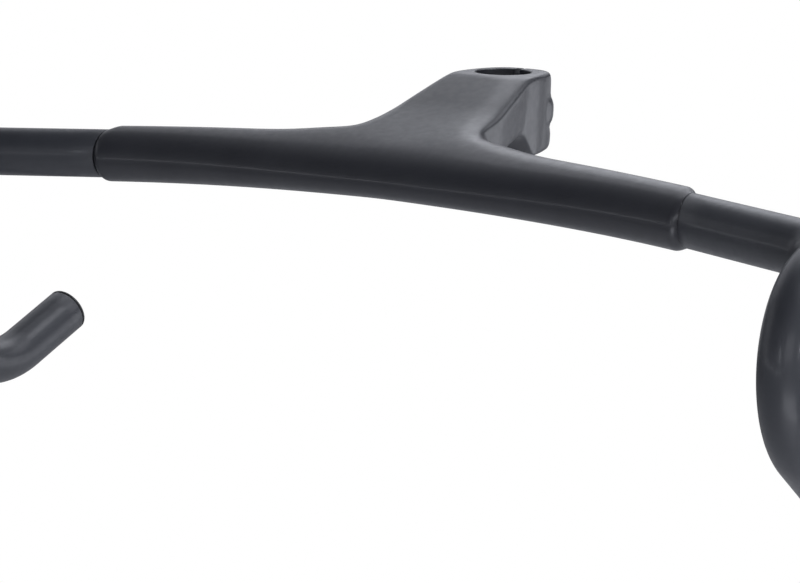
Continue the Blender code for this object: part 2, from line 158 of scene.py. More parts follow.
# Bar-end plugs, measured along the drop's axis from its end face (+ is outwards)
FLANGE_T = 0.0026
PLUG_R = 0.0098
PLUG_L = 0.006
PLUG_SEAT = -0.0008                             # where the screw's head sits in the cap
CONE_R = (0.0050, 0.0088)
CONE_S = (-0.0150, -0.0240)
SLEEVE_S = (-0.0063, -0.0180)
RIB_COUNT = 4
RIB_H = 0.0006
SCREW_R = 0.0024
SCREW_HEAD_R = 0.0043
SCREW_TIP = -0.0300

# Socket heads and knurls
HEAD_CHAMFER = 0.0004
HEAD_EDGE = 0.0003                              # small edges of the socket's mouth and the head's seat
HEX_LEAD = 0.0002                               # the socket's mouth stands this far past its corners
KNURL_MARGIN = (0.0007, 0.0004)                 # plain rims below and above the knurls
HEAD_KNURL = 0.00007
INSERT_KNURL = 0.00006
INSERT_GROOVE = 0.0004
PLAIN_SHANK = 0.0018                            # length of shank before the thread
TIP_L = 0.0006                                  # the thread ends this far from the tip
TIP_INSET = 0.0002                              # the tip's edge lies this far inside the thread's root
THREAD_STEPS = 8                                # rings in a pitch

NOISE_SPAN = (0.3, 0.7)                         # where nearly all values of a noise texture lie
SMOOTH_ANGLE = 32.0                             # degrees; sharper edges stay sharp


# ---------------------------------------------------------------- node materials

class Paint:
    """A Principled material whose sockets are fed by small chains of nodes."""

    def __init__(self, name, roughness, metallic=0.0, coat=0.0, coat_roughness=0.1):
        self.material = bpy.data.materials.new(name)
        self.material.use_nodes = True
        self.tree = self.material.node_tree
        self.shader = self.tree.nodes["Principled BSDF"]
        self.shader.inputs["Roughness"].default_value = roughness
        self.shader.inputs["Metallic"].default_value = metallic
        self.shader.inputs["Coat Weight"].default_value = coat
        self.shader.inputs["Coat Roughness"].default_value = coat_roughness
        self.place = self.tree.nodes.new("ShaderNodeTexCoord").outputs["Object"]
        self.normal = None

    def noise(self, scale, detail, stretch=(1, 1, 1)):
        mapping = self.tree.nodes.new("ShaderNodeMapping")
        mapping.inputs["Scale"].default_value = stretch
        self.tree.links.new(self.place, mapping.inputs["Vector"])
        node = self.tree.nodes.new("ShaderNodeTexNoise")
        node.inputs["Scale"].default_value = scale
        node.inputs["Detail"].default_value = detail
        self.tree.links.new(mapping.outputs["Vector"], node.inputs["Vector"])
        return node.outputs["Fac"]

    def cells(self, scale):
        node = self.tree.nodes.new("ShaderNodeTexVoronoi")
        node.inputs["Scale"].default_value = scale
        self.tree.links.new(self.place, node.inputs["Vector"])
        return node.outputs["Distance"]

    def colour(self, value, stops):
        """Base colour from a value, through (position, colour) stops."""
        node = self.tree.nodes.new("ShaderNodeValToRGB")
        elements = node.color_ramp.elements
        while len(elements) < len(stops):
            elements.new(0.5)
        for element, (position, colour) in zip(elements, stops):
            element.position = position
            element.color = (*colour, 1.0)
        self.tree.links.new(value, node.inputs["Fac"])
        self.tree.links.new(node.outputs["Color"], self.shader.inputs["Base Color"])

    def roughness(self, value, low, high):
        node = self.tree.nodes.new("ShaderNodeMapRange")
        node.inputs["From Min"].default_value = NOISE_SPAN[0]
        node.inputs["From Max"].default_value = NOISE_SPAN[1]
        node.inputs["To Min"].default_value = low
        node.inputs["To Max"].default_value = high
        self.tree.links.new(value, node.inputs["Value"])
        self.tree.links.new(node.outputs["Result"], self.shader.inputs["Roughness"])

    def bump(self, value, strength, distance):
        """Fine relief, on top of any relief that is already there."""
        node = self.tree.nodes.new("ShaderNodeBump")
        node.inputs["Strength"].default_value = strength
        node.inputs["Distance"].default_value = distance
        self.tree.links.new(value, node.inputs["Height"])
        if self.normal is not None:
            self.tree.links.new(self.normal, node.inputs["Normal"])
        self.normal = node.outputs["Normal"]
        self.tree.links.new(self.normal, self.shader.inputs["Normal"])


def matte_composite():
    """Moulded carbon composite under a matte black lacquer."""
    paint = Paint("matte_composite", roughness=0.48, coat=0.25, coat_roughness=0.17)
    paint.colour(paint.noise(38, 5), [(0.32, (0.0175, 0.0184, 0.0235)), (0.70, (0.0230, 0.0242, 0.0300))])
    paint.roughness(paint.noise(240, 4), 0.44, 0.52)
    paint.bump(paint.noise(130, 2), 0.05, 0.00012)
    paint.bump(paint.noise(2600, 2), 0.10, 0.00003)
    return paint.material


def satin_composite():
    """The same composite under a lacquer with a faint orange peel; its colour is made a little lighter
    than the matte's as painted light, for the extra light that the drops catch.
    """
    paint = Paint("satin_composite", roughness=0.48, coat=0.16, coat_roughness=0.18)
    # painted light: both stops sit above the matte composite's, a lighter copy of the same composite
    # standing in for the light on the drops
    paint.colour(paint.noise(45, 5), [(0.32, (0.0255, 0.0275, 0.0340)), (0.70, (0.0335, 0.0358, 0.0430))])
    paint.roughness(paint.noise(320, 5), 0.44, 0.52)
    paint.bump(paint.noise(420, 3), 0.05, 0.00006)
    paint.bump(paint.noise(2600, 2), 0.06, 0.00002)
    return paint.material


def epoxy():
    """Cured adhesive, semi-gloss where it is smooth."""
    paint = Paint("black_epoxy", roughness=0.35)
    paint.colour(paint.noise(300, 3), [(0.35, (0.014, 0.015, 0.018)), (0.7, (0.020, 0.022, 0.026))])
    paint.roughness(paint.noise(900, 3), 0.28, 0.5)
    paint.bump(paint.noise(700, 3), 0.3, 0.00008)
    return paint.material


def black_oxide():
    """Blackened steel, a little brown where the oxide is thin."""
    paint = Paint("black_oxide_steel", roughness=0.36, metallic=0.9)
    paint.colour(paint.noise(700, 5), [(0.30, (0.020, 0.020, 0.022)), (0.62, (0.040, 0.039, 0.040)),
                                       (0.80, (0.070, 0.058, 0.050))])
    paint.roughness(paint.noise(1500, 4), 0.28, 0.5)
    paint.bump(paint.noise(3500, 3), 0.15, 0.00002)
    return paint.material


def plain_steel():
    """Zinc-plated steel with faint brushing."""
    paint = Paint("zinc_steel", roughness=0.3, metallic=1.0)
    paint.colour(paint.noise(600, 5), [(0.35, (0.48, 0.48, 0.49)), (0.7, (0.60, 0.60, 0.61))])
    paint.roughness(paint.noise(1400, 4, stretch=(1, 4, 1)), 0.22, 0.42)
    paint.bump(paint.noise(2600, 3, stretch=(1, 6, 1)), 0.2, 0.00002)
    return paint.material


def turned_brass():
    """Brass as it comes off the lathe."""
    paint = Paint("turned_brass", roughness=0.3, metallic=1.0)
    paint.colour(paint.noise(500, 5), [(0.35, (0.55, 0.39, 0.15)), (0.7, (0.68, 0.50, 0.22))])
    paint.roughness(paint.noise(1600, 4), 0.22, 0.4)
    paint.bump(paint.noise(2400, 3), 0.2, 0.00002)
    return paint.material


def moulded_plastic():
    """Spark-eroded black nylon."""
    paint = Paint("moulded_plastic", roughness=0.5)
    paint.colour(paint.noise(400, 4), [(0.35, (0.016, 0.016, 0.018)), (0.7, (0.024, 0.024, 0.026))])
    paint.roughness(paint.noise(1200, 4), 0.42, 0.6)
    paint.bump(paint.cells(4200), 0.35, 0.00004)
    return paint.material


def black_rubber():
    """Dull moulded rubber."""
    paint = Paint("black_rubber", roughness=0.75)
    paint.colour(paint.noise(500, 5), [(0.35, (0.010, 0.010, 0.010)), (0.7, (0.018, 0.018, 0.018))])
    paint.roughness(paint.noise(900, 4), 0.65, 0.85)
    paint.bump(paint.noise(1800, 4), 0.3, 0.00005)
    return paint.material


# ---------------------------------------------------------------- mesh helpers

def add_object(name, mesh, material):
    obj = bpy.data.objects.new(name, mesh)
    bpy.context.scene.collection.objects.link(obj)
    mesh.materials.append(material)
    return obj


def shade(mesh, degrees=SMOOTH_ANGLE):
    mesh.shade_smooth()
    mesh.set_sharp_from_angle(angle=math.radians(degrees))


def to_mesh(name, bm, degrees=SMOOTH_ANGLE):
    bmesh.ops.recalc_face_normals(bm, faces=bm.faces)
    mesh = bpy.data.meshes.new(name)
    bm.to_mesh(mesh)
    bm.free()
    shade(mesh, degrees)
    return mesh


def bridge(bm, a, b):
    """Faces between two closed rings of vertices."""
    for k in range(len(a)):
        n = (k + 1) % len(a)
        bm.faces.new((a[k], a[n], b[n], b[k]))


def loft(name, rings, joined=False, caps=True, degrees=SMOOTH_ANGLE):
    """A skin over rings of equal length. joined closes the last ring on to the first."""
    bm = bmesh.new()
    rows = [[bm.verts.new(p) for p in ring] for ring in rings]
    pairs = list(zip(rows, rows[1:]))
    if joined:
        pairs.append((rows[-1], rows[0]))
    for a, b in pairs:
        bridge(bm, a, b)
    if caps and not joined:
        bm.faces.new(rows[0])
        bm.faces.new(rows[-1])
    bmesh.ops.remove_doubles(bm, verts=bm.verts, dist=MERGE / 4)
    return to_mesh(name, bm, degrees)


def axis_matrix(origin, direction):
    """A frame with its Z axis along direction."""
    turn = Vector((0, 0, 1)).rotation_difference(Vector(direction)).to_matrix().to_4x4()
    return Matrix.Translation(Vector(origin)) @ turn


def rounded_profile(points, radius, closed=True, steps=3):
    """A profile with each corner rounded, by no more than its sides allow."""
    points = [Vector(p) for p in points]
    count = len(points)
    line = []
    for k, corner in enumerate(points):
        if not closed and k in (0, count - 1):
            line.append(corner)
            continue
        before, after = points[k - 1] - corner, points[(k + 1) % count] - corner
        reach = min(radius, 0.4 * before.length, 0.4 * after.length)
        a, b = corner + before.normalized() * reach, corner + after.normalized() * reach
        for step in range(steps + 1):
            t = step / steps
            line.append(a * (1 - t) ** 2 + corner * 2 * t * (1 - t) + b * t ** 2)
    return line


def turned(name, profile, frame_matrix, sides, closed=True, shape=None):
    """A (radius, height) profile turned about the frame's Z; shape(r, h, angle) gives the radius."""
    rings = []
    for radius, height in profile:
        ring = []
        for k in range(sides):
            angle = 2 * math.pi * k / sides
            r = shape(radius, height, angle) if shape else radius
            ring.append(frame_matrix @ Vector((r * math.cos(angle), r * math.sin(angle), height)))
        rings.append(ring)
    return loft(name, rings, joined=closed)


def hexagon(angle, across):
    """Radius of a hexagon of that size across its flats, at an angle."""
    turn = math.fmod(angle, math.pi / 3) - math.pi / 6
    return across / 2 / math.cos(turn)


def thread(radius, depth, height, angle):
    """Radius of a helical thread with rounded crests at a height and angle."""
    phase = height / THREAD_PITCH - angle / (2 * math.pi)
    return radius - depth * (0.5 - 0.5 * math.cos(2 * math.pi * phase)) ** 1.4


def cut(obj, cutters):
    """Takes each cutter mesh away from obj by an exact Boolean."""
    for mesh in cutters:
        other = bpy.data.objects.new("cutter", mesh)
        bpy.context.scene.collection.objects.link(other)
        mod = obj.modifiers.new("cut", "BOOLEAN")
        mod.operation = "DIFFERENCE"
        mod.solver = "EXACT"
        mod.object = other
        apply_modifiers(obj)
        bpy.data.objects.remove(other, do_unlink=True)


def apply_modifiers(obj):
    bpy.context.view_layer.update()
    graph = bpy.context.evaluated_depsgraph_get()
    mesh = bpy.data.meshes.new_from_object(obj.evaluated_get(graph))
    obj.modifiers.clear()
    obj.data = mesh


def box_mesh(low, high):
    bm = bmesh.new()
    bmesh.ops.create_cube(bm, size=1.0)
    low, high = Vector(low), Vector(high)
    bm.transform(Matrix.Translation((low + high) / 2) @ Matrix.Diagonal((*(high - low), 1.0)))
    return to_mesh("box", bm)


def rod_mesh(radius, start, end, sides=48):
    start, end = Vector(start), Vector(end)
    bm = bmesh.new()
    bmesh.ops.create_cone(bm, cap_ends=True, segments=sides, radius1=radius, radius2=radius,
                          depth=(end - start).length)
    bm.transform(axis_matrix((start + end) / 2, end - start))
    return to_mesh("rod", bm)


# ---------------------------------------------------------------- centre section

def blend(pair, t):
    """Eases from the first value of a pair to the second."""
    t = min(max(t, 0.0), 1.0)
    return pair[0] + (pair[1] - pair[0]) * t * t * (3 - 2 * t)


def bar_centre(x):
    """The middle of the bar's section at x, swept forward and drooping towards the collar."""
    t = x / COLLAR_X
    y = CENTRE_Y + (COLLAR_Y - CENTRE_Y) * t ** SWEEP_POWER
    z = CENTRE_Z + (COLLAR_Z - CENTRE_Z) * t ** DROOP_POWER
    return Vector((x, y, z))


def collar_axis(side):
    """The direction in which the bar leaves the collar."""
    axis = (bar_centre(COLLAR_X) - bar_centre(COLLAR_X * 0.95)).normalized()
    return Vector((side * axis.x, axis.y, axis.z))


def wing_point(x, angle, shrink=0.0, swell=RING_SWELL):
    """A point of the wing section at x; angle 0 is the rear edge, 90 degrees the top."""
    t = x / COLLAR_X
    half_chord = (blend(CHORD, t) / 2 - shrink) * swell
    half_thick = (blend(THICKNESS, t) / 2 - shrink) * swell
    c, s = math.cos(angle), math.sin(angle)
    u = half_chord * math.copysign(abs(c) ** (2 / SECTION_POWER), c)
    w = half_thick * math.copysign(abs(s) ** (2 / SECTION_POWER), s)
    pitch = blend(PITCH, t ** PITCH_POWER)
    rear = u * math.cos(pitch) - w * math.sin(pitch)
    up = u * math.sin(pitch) + w * math.cos(pitch)
    root = max(0.0, 1 - ((x - ROOT_X) / ROOT_SPREAD) ** 2) * max(0.0, c)
    return bar_centre(x) + Vector((0, rear + ROOT_FILLET[0] * root, up + ROOT_FILLET[1] * root))


def arm_ring(bm, y, half, top, bottom, back):
    """Nine points of half an arm section, from the top centre round to the bottom centre."""
    middle = (top + bottom) / 2
    points = (
        (0, y, top + CROWN),
        (half * 0.5, y, top + CROWN),
        (half, y, top),
        (half + ARM_SIDE[0], y, top - EDGE),
        (half, y, middle),
        (half + ARM_SIDE[1], y + back * 0.5, bottom + EDGE),
        (half + ARM_SIDE[2], y + back, bottom),
        (half * 0.5, y + back * 0.2, bottom),
        (0, y, bottom),
    )
    return [bm.verts.new(p) for p in points]


def body_cage():
    """Half of the centre section as a coarse cage."""
    bm = bmesh.new()
    step = 2 * math.pi / RING
    rings = [[bm.verts.new(wing_point(x, k * step)) for k in range(RING)] for x in WING_X]
    rear = {RING - 2, RING - 1, 0, 1}           # the arm leaves from these faces of the middle bays
    for i, (a, b) in enumerate(zip(rings, rings[1:])):
        for k in range(RING):
            if i < 2 and k in rear:
                continue
            n = (k + 1) % RING
            bm.faces.new((a[k], a[n], b[n], b[k]))
    inner = [bm.verts.new(v.co.lerp(bar_centre(COLLAR_X), 0.5)) for v in rings[-1]]
    bridge(bm, rings[-1], inner)
    bm.faces.new(inner)
    loop = [rings[0][2], rings[1][2], rings[2][2], rings[2][1], rings[2][0],
            rings[2][-1], rings[2][-2], rings[1][-2], rings[0][-2]]
    for section in ARM:
        ring = arm_ring(bm, *section)
        for a, b, c, d in zip(loop, loop[1:], ring[1:], ring):
            bm.faces.new((a, b, c, d))
        loop = ring
    rows = [loop[0:3]]
    for k in (3, 4, 5):
        edge = loop[k].co
        rows.append([bm.verts.new((edge.x * share, edge.y + REAR_BULGE, edge.z)) for share in (0, 0.5)]
                    + [loop[k]])
    rows.append([loop[8], loop[7], loop[6]])
    for upper, lower in zip(rows, rows[1:]):
        for k in range(2):
            bm.faces.new((upper[k], upper[k + 1], lower[k + 1], lower[k]))
    return to_mesh("body_cage", bm)


def swell_bosses(points):
    """Pushes the clamp's rear corners out round each pinch bolt, in soft mounds."""
    x, y, z = points.T
    side = np.clip((np.abs(x) - BOSS_SIDE[0]) / BOSS_SIDE[1], 0, 1)
    rear = np.clip((y - BOSS_REAR[0]) / BOSS_REAR[1], 0, 1)
    for level, (height, length) in BOSS_SWELL.items():
        along = np.exp(-((z - BOLT_Z[level]) / length) ** 4)
        amount = height * along * side * side * (3 - 2 * side) * rear * rear * (3 - 2 * rear)
        x += np.sign(x) * BOSS_PUSH[0] * amount
        y += BOSS_PUSH[1] * amount
    return np.stack([x, y, z], axis=1)


def flatten_ends(points):
    """Settles the clamp's ends on their flat faces with a soft edge."""
    x, y, z = points.T
    over = (z - CLAMP_H) / FLAT_SOFTNESS
    z = np.where(y > TOP_FACE_Y, CLAMP_H - FLAT_SOFTNESS * np.logaddexp(0, -over), z)
    z = np.where(y > BOTTOM_FACE_Y, FLAT_SOFTNESS * np.logaddexp(0, z / FLAT_SOFTNESS), z)
    return np.stack([x, y, z], axis=1)


def roll_collars(points):
    """Rolls each end of the wing down to its drop tube, like the shoulder of a bottle."""
    x, y, z = points.T
    t = np.clip((np.abs(x) - COLLAR_X + COLLAR_ROLL) / COLLAR_ROLL, 0, 1)
    radius = np.hypot(y - COLLAR_Y, z - COLLAR_Z)
    foot = TUBE_R + GAP / 6
    rolled = foot + np.maximum(radius - foot, 0) * (1 - t * t) ** COLLAR_ROLL_POWER
    scale = np.where(radius > foot, rolled / np.maximum(radius, foot), 1)
    y = COLLAR_Y + (y - COLLAR_Y) * scale
    z = COLLAR_Z + (z - COLLAR_Z) * scale
    return np.stack([x, y, z], axis=1)


def cavity_mesh():
    """The hollow of the tops, from socket to socket."""
    last = COLLAR_X - SPIGOT_L + CAVITY_OVERLAP
    xs = [x for x in WING_X if x < last] + [last]
    stations = [-x for x in reversed(xs) if x > 0] + xs
    rings = []
    for x in stations:
        ring = []
        for k in range(RING * 2):
            p = wing_point(abs(x), math.pi * k / RING, shrink=TOPS_WALL, swell=1.0)
            ring.append((math.copysign(p.x, x) if x else 0.0, p.y, p.z))
        rings.append(ring)
    return loft("cavity", rings)


def make_body(material):
    """The moulded centre section: a subdivided cage, shaped, then bored, slit and hollowed."""
    body = add_object("center_shell", body_cage(), material)
    mirror = body.modifiers.new("mirror", "MIRROR")
    mirror.use_clip = True
    mirror.merge_threshold = MERGE
    fine = body.modifiers.new("fine", "SUBSURF")
    fine.levels = BODY_LEVELS
    fine.render_levels = BODY_LEVELS
    apply_modifiers(body)
    count = len(body.data.vertices)
    points = np.zeros(count * 3)
    body.data.vertices.foreach_get("co", points)
    points = roll_collars(flatten_ends(swell_bosses(points.reshape(-1, 3))))
    body.data.vertices.foreach_set("co", points.ravel())
    body.data.update()
    reach = 0.06                                # past the clamp on every side
    flare = 0.0095                              # the chamfer's cone, carried on past each end face
    wide = BORE_R + BORE_CHAMFER
    bore = [(wide + flare, -flare), (wide, 0.0), (BORE_R, BORE_CHAMFER),
            (BORE_R, CLAMP_H - BORE_CHAMFER), (wide, CLAMP_H), (wide + flare, CLAMP_H + flare)]
    cutters = [
        turned("bore", bore, Matrix.Identity(4), sides=128, closed=False),
        box_mesh((-SLIT_W / 2, SLIT_Y, -reach), (SLIT_W / 2, reach, reach)),
        cavity_mesh(),
    ]
    for side in (-1, 1):
        start, axis = line_corners(side)[0], collar_axis(side)
        floor, mouth = start - axis * (SPIGOT_L + 0.001), start + axis * 0.01
        cutters.append(rod_mesh(SPIGOT_R + 2 * GAP + BOND_T, floor, mouth))
    y = BOLT_Y
    seat_from, hole_from = -0.03, -0.02         # X well outside the boss
    for z in BOLT_Z.values():
        cutters += [
            rod_mesh(WASHER_R + GAP, (seat_from, y, z), (SEAT_X, y, z), 64),
            rod_mesh(HOLE_R, (hole_from, y, z), (HOLE_END, y, z)),
            rod_mesh(INSERT_R + GAP, (0, y, z), (INSERT_END + GAP, y, z)),
        ]
    cut(body, cutters)
    body.data.materials.clear()
    body.data.materials.append(material)
    shade(body.data, 30)
    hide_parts("center_section")
    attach(body, "bar")


# ---------------------------------------------------------------- drops

def hood_line_x(z):
    """X of the drop's leaning plane at a height."""
    return HOOD_X + FLARE * (HOOD[1] - z)


def line_corners(side):
    """Corners of the drop's line, from the collar to the open end."""
    corners = [Vector((COLLAR_X, COLLAR_Y, COLLAR_Z))]
    corners += [Vector((hood_line_x(z), y, z)) for y, z in (HOOD, NOSE, BELLY, TAIL)]
    return [Vector((side * p.x, p.y, p.z)) for p in corners]


def rounded_line(corners, radii):
    """The corners' line with each inner corner replaced by an arc."""
    line = [corners[0]]
    for before, corner, after, radius in zip(corners, corners[1:], corners[2:], radii):
        u = (before - corner).normalized()
        v = (after - corner).normalized()
        half = u.angle(v) / 2
        centre = corner + (u + v).normalized() * (radius / math.sin(half))
        start = corner + u * (radius / math.tan(half)) - centre
        axis = start.cross(v - u).normalized()
        sweep = math.pi - 2 * half
        count = max(2, math.ceil(sweep / BEND_STEP))
        for k in range(count + 1):
            line.append(centre + Matrix.Rotation(sweep * k / count, 3, axis) @ start)
    line.append(corners[-1])
    return line


def carried_frames(line):
    """A frame at each point of the line, turned no more than the line turns."""
    tangents = []
    for k in range(len(line)):
        before = line[k] - line[k - 1] if k else line[1] - line[0]
        after = line[k + 1] - line[k] if k + 1 < len(line) else before
        tangents.append((before.normalized() + after.normalized()).normalized())
    up = Vector((0, 0, 1))
    u = up.cross(tangents[0]).normalized()
    frames = []
    for k, tangent in enumerate(tangents):
        if k:
            u.rotate(tangents[k - 1].rotation_difference(tangent))
        u = (u - tangent * u.dot(tangent)).normalized()
        frames.append((tangent, u.copy(), tangent.cross(u)))
    return frames


def ring_at(centre, axes, radius):
    """A circle across the first of three axes."""
    _, u, v = axes
    turns = [2 * math.pi * k / TUBE_SIDES for k in range(TUBE_SIDES)]
    return [centre + (u * math.cos(a) + v * math.sin(a)) * radius for a in turns]


def slid_to(ring, direction, x):
    """A ring's points moved along direction until they lie in the plane at x."""
    return [p + direction * ((x - p.x) / direction.x) for p in ring]


def drop_rings(side):
    """Rings of the drop: collar face, outside, rim, bore and spigot, as one closed skin."""
    line = rounded_line(line_corners(side), BEND_R)
    frames = carried_frames(line)
    axis = collar_axis(side)
    face = side * (COLLAR_X + GAP)
    out = frames[0][0]
    inner_r = TUBE_R - TUBE_WALL
    end, end_axis = line[-1], frames[-1][0]
    rings = []
    for inset, ahead in ((0.5, 0.0), (0.15, 0.15), (0.0, 0.5)):     # a soft edge, as shares of GAP
        ring = ring_at(line[0], frames[0], TUBE_R - GAP * inset)
        rings.append(slid_to(ring, out, face + side * GAP * ahead))
    for share in STRAIGHT_SHARES:
        rings.append(ring_at(line[0].lerp(line[1], share), frames[0], TUBE_R))
    for point, axes in list(zip(line, frames))[1:-1]:
        rings.append(ring_at(point, axes, TUBE_R))
    for share in STRAIGHT_SHARES:
        rings.append(ring_at(line[-2].lerp(line[-1], share), frames[-1], TUBE_R))
    for setback, inset in ((RIM_R, 0.0), (RIM_R * 0.3, RIM_R * 0.3), (0.0, RIM_R)):
        rings.append(ring_at(end - end_axis * setback, frames[-1], TUBE_R - inset))
    rings.append(ring_at(end, frames[-1], inner_r + RIM_R * 0.5))
    rings.append(ring_at(end - end_axis * RIM_R * 0.5, frames[-1], inner_r))
    for point, axes in reversed(list(zip(line, frames))[1:-1]):
        rings.append(ring_at(point, axes, inner_r))
    spigot_axes = (axis, frames[0][1], axis.cross(frames[0][1]))
    rings.append(ring_at(line[0] + out * NECK[0], frames[0], inner_r))
    rings.append(ring_at(line[0] + axis * NECK[1], spigot_axes, SPIGOT_R - TUBE_WALL))
    tip = line[0] - axis * SPIGOT_L
    rings.append(ring_at(tip, spigot_axes, SPIGOT_R - TUBE_WALL))
    rings.append(ring_at(tip, spigot_axes, SPIGOT_R - RIM_R))
    rings.append(ring_at(tip + axis * RIM_R, spigot_axes, SPIGOT_R))
    rings.append(slid_to(ring_at(line[0], spigot_axes, SPIGOT_R), axis, face))
    return rings, end, end_axis


def make_drop(name, side, material):
    """One drop tube. Returns its open end and the direction out of it."""
    rings, end, end_axis = drop_rings(side)
    drop = add_object(f"{name}_drop_tube", loft(f"{name}_drop_tube", rings, joined=True), material)
    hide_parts(f"{name}_drop")
    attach(drop, "bar")
    return end, end_axis


def make_bond(name, side, material):
    """The adhesive sleeve, with the bead that fills the joint at the collar."""
    axis = collar_axis(side)
    inner, outer = SPIGOT_R + GAP / 2, SPIGOT_R + GAP * 1.5 + BOND_T
    setback = outer * abs(axis.y / axis.x) + GAP
    profile = rounded_profile([(inner, -setback), (outer, -setback), (outer, 0.001 - SPIGOT_L),
                               (inner, 0.001 - SPIGOT_L)], 0.0002)
    start = line_corners(side)[0]
    sleeve = turned(f"{name}_bond", profile, axis_matrix(start, axis), 64)
    line = rounded_line(line_corners(side), BEND_R)
    axes = carried_frames(line)[0]
    near, far = side * (COLLAR_X + GAP * 0.1), side * (COLLAR_X + GAP * 0.9)
    root, flush, crest = inner + 0.0004, TUBE_R - GAP / 4, TUBE_R - GAP / 8
    corners = ((root, near), (flush, near), (crest, (near + far) / 2), (flush, far), (root, far))
    bead = [slid_to(ring_at(line[0], axes, radius), axes[0], x) for radius, x in corners]
    bm = bmesh.new()
    bm.from_mesh(sleeve)
    bm.from_mesh(loft("bead", bead, joined=True))
    bond = add_object(f"{name}_bond_line", to_mesh(f"{name}_bond_line", bm), material)
    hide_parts(f"{name}_bond_sleeve")
    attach(bond, "bar")


# ---------------------------------------------------------------- pinch bolts

def socket_head(head, head_r, across, depth):
    """Rows of a socket head, from the socket's floor out and down to the head's seat."""
    return [
        ("round", 0.0, head - depth - across * 0.2),
        ("hex", across, head - depth),
        ("hex", across, head - HEAD_EDGE),
        ("round", across * 0.5 / math.cos(math.pi / 6) + HEX_LEAD, head),
        ("round", head_r - HEAD_CHAMFER, head),
        ("round", head_r - HEAD_CHAMFER * 0.35, head - HEAD_CHAMFER * 0.3),
        ("round", head_r, head - HEAD_CHAMFER),
        ("knurl", head_r, head - HEAD_CHAMFER - KNURL_MARGIN[1]),
        ("knurl", head_r, KNURL_MARGIN[0]),
        ("round", head_r, HEAD_EDGE),
        ("round", head_r - HEAD_EDGE, 0.0),
    ]


def socket_screw(name, matrix, head, head_r, shank_r, length, across, depth, knurls=32):
    """A socket screw with its head's seat at height 0, its thread below and its head above."""
    turns = [2 * math.pi * k / (knurls * 6) for k in range(knurls * 6)]

    def ring(radius_at, height):
        return [matrix @ Vector((radius_at(a) * math.cos(a), radius_at(a) * math.sin(a), height))
                for a in turns]

    rings = []
    for kind, size, height in socket_head(head, head_r, across, depth):
        if kind == "hex":
            rings.append(ring(lambda a: hexagon(a, size), height))
        elif kind == "knurl":
            rings.append(ring(lambda a: size - HEAD_KNURL * (1 + math.cos(knurls * a)), height))
        else:
            rings.append(ring(lambda a: size, height))
    rings.append(ring(lambda a: shank_r, -0.0001))
    rings.append(ring(lambda a: shank_r, -PLAIN_SHANK))
    height = -PLAIN_SHANK
    while height > TIP_L - length:
        height -= THREAD_PITCH / THREAD_STEPS
        depth_here = THREAD_DEPTH * min(1.0, (-PLAIN_SHANK - height) / THREAD_PITCH)
        rings.append(ring(lambda a: thread(shank_r, depth_here, height, a), height))
    rings.append(ring(lambda a: shank_r - THREAD_DEPTH - TIP_INSET, -length))
    rings.append(ring(lambda a: 0.0, -length))
    return loft(name, rings, caps=False, degrees=40)


def threaded_ring(name, profile, matrix, bore, sides, shape=None):
    """A turned ring whose bore carries an inner thread between its two end faces."""
    top = max(h for _, h in profile)
    bottom = min(h for _, h in profile)
    inside = []
    height = bottom + 0.0003
    while height < top - 0.0003:
        inside.append((bore, height))
        height += THREAD_PITCH / THREAD_STEPS
    lead = [(bore + 0.0004, bottom)] + inside + [(bore + 0.0004, top)]

    def radius_at(radius, height, angle):
        if abs(radius - bore) < 1e-7:
            return bore + 0.0003 - thread(0.0003, 0.0003, height, angle)
        return shape(radius, height, angle) if shape else radius

    return turned(name, lead + profile, matrix, sides, shape=radius_at)


def make_pinch_bolts(materials):
    """The washer, bolt and blind insert at each of the two levels of the clamp."""
    for level, z in BOLT_Z.items():
        washer_low, washer_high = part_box(f"{level}_clamp_washer")
        frame_at = axis_matrix((washer_high.x, BOLT_Y, z), (-1, 0, 0))
        thick = washer_high.x - washer_low.x
        profile = rounded_profile([(SHANK_R + 0.0003, 0), (WASHER_R, 0), (WASHER_R, thick),
                                   (SHANK_R + 0.0003, thick)], 0.0002)
        washer = add_object(f"{level}_washer_ring", turned(f"{level}_washer_ring", profile, frame_at, 72),
                            materials["steel"])
        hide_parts(f"{level}_clamp_washer")
        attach(washer, f"{level}_washer")

        bolt_low, bolt_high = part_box(f"{level}_clamp_bolt")
        seat = bolt_low.x + HEAD_H
        bolt = add_object(f"{level}_pinch_bolt",
                          socket_screw(f"{level}_pinch_bolt", axis_matrix((seat, BOLT_Y, z), (-1, 0, 0)),
                                       HEAD_H, HEAD_R, SHANK_R, bolt_high.x - seat, 0.004, 0.0026),
                          materials["black_steel"])
        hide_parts(f"{level}_clamp_bolt")
        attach(bolt, f"{level}_bolt")

        low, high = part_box(f"{level}_clamp_insert")
        length = high.x - low.x
        groove_r = INSERT_R - INSERT_GROOVE
        outer = [(INSERT_R, length), (INSERT_R, length * 0.6), (groove_r, length * 0.56),
                 (groove_r, length * 0.44), (INSERT_R, length * 0.4), (INSERT_R, 0)]
        profile = rounded_profile(outer, 0.00015, closed=False)

        def knurled(radius, height, angle):
            if radius > INSERT_R - 0.0001:
                return radius - INSERT_KNURL * (1 + math.cos(24 * angle))
            return radius

        insert = add_object(f"{level}_threaded_insert",
                            threaded_ring(f"{level}_threaded_insert", profile,
                                          axis_matrix((low.x, BOLT_Y, z), (1, 0, 0)),
                                          SHANK_R + 0.00006, 96, knurled), materials["brass"])
        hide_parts(f"{level}_clamp_insert")
        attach(insert, "bar")


# ---------------------------------------------------------------- bar-end plugs

